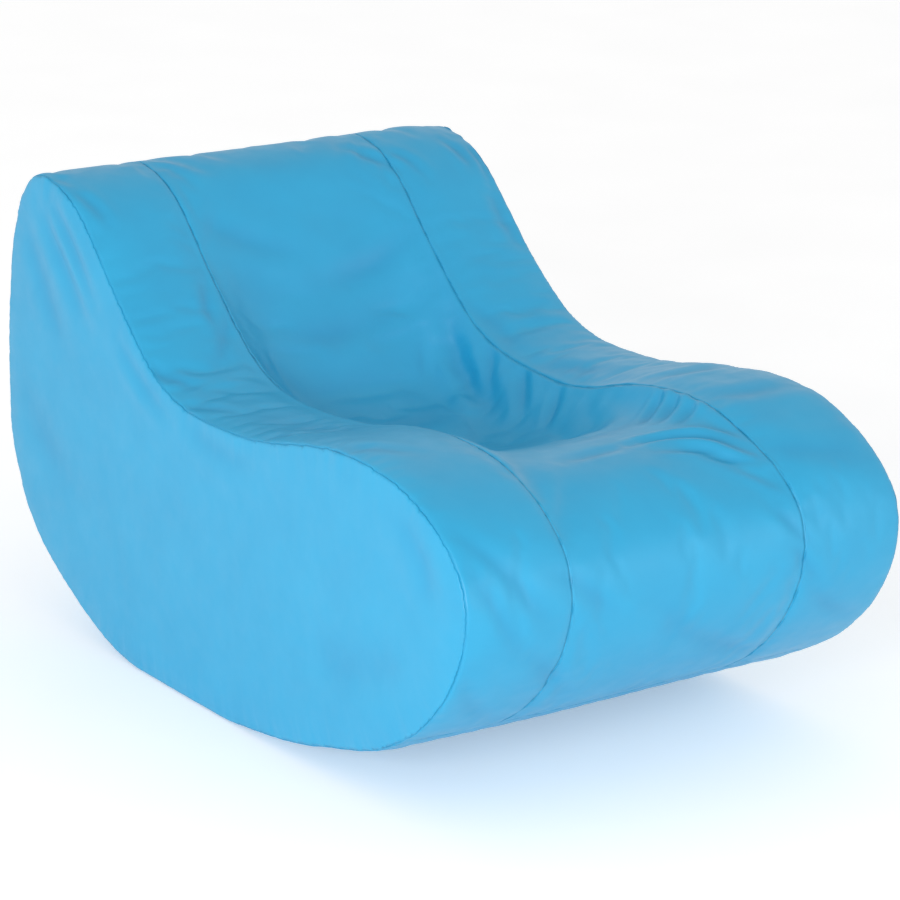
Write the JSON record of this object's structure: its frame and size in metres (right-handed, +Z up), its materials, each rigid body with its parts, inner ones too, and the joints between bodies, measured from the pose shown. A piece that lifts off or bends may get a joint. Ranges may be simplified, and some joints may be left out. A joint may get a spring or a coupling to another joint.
{
  "type": "bean bag chair",
  "caption": "Child's reclining bean bag lounger with flat comma-shaped sides, raised bolsters, a sunken centre seat and a zipped wipe-clean cover.",
  "frame": {"origin": "on the floor, under the middle of the chair's box", "axes": "+Z up; the chair faces -Y; its width runs along X, its right-hand side (seen from the front, facing the seat) at +X"},
  "size_m": [0.8, 1.4039, 0.785],
  "materials": {
    "cover_vinyl": "satin",
    "zip_tape": "matte",
    "zip_teeth": "satin",
    "zip_metal": "satin",
    "lining_cloth": "matte",
    "beads": "matte"
  },
  "bodies": {
    "chair": {"left_side_panel": "cover_vinyl", "right_side_panel": "cover_vinyl", "left_bolster_panel": "cover_vinyl", "right_bolster_panel": "cover_vinyl", "centre_panel": "cover_vinyl", "back_panel": "cover_vinyl", "base_panel": "cover_vinyl", "zip_garage": "cover_vinyl", "zip_tape_upper": "zip_tape", "zip_tape_lower": "zip_tape", "zip_teeth_upper": "zip_teeth", "zip_teeth_lower": "zip_teeth", "zip_stop_left": "zip_metal", "zip_stop_right": "zip_metal", "left_inner_wall": "lining_cloth", "right_inner_wall": "lining_cloth", "left_bead_bag": "lining_cloth", "centre_bead_bag": "lining_cloth", "right_bead_bag": "lining_cloth", "left_bag_closing_strip": "lining_cloth", "centre_bag_closing_strip": "lining_cloth", "right_bag_closing_strip": "lining_cloth", "left_bead_filling": "beads", "centre_bead_filling": "beads", "right_bead_filling": "beads"},
    "slider": {"zip_slider": "zip_metal"},
    "lock_lever": {"zip_lock_lever": "zip_metal"}
  },
  "joints": [
    {"name": "zip_slide", "type": "slide", "parent": "chair", "child": "slider", "axis": [-1, 0, 0], "range_m": [0, 0.636]},
    {"name": "lock_lever_lift", "type": "hinge", "parent": "slider", "child": "lock_lever", "pos_m": [0.31072, 0.6747, 0.23068], "axis": [0, 0.4392, 0.8984], "range_deg": [0, 10], "stiffness_Nm_per_rad": 0.01, "springref_deg": -5.73}
  ]
}
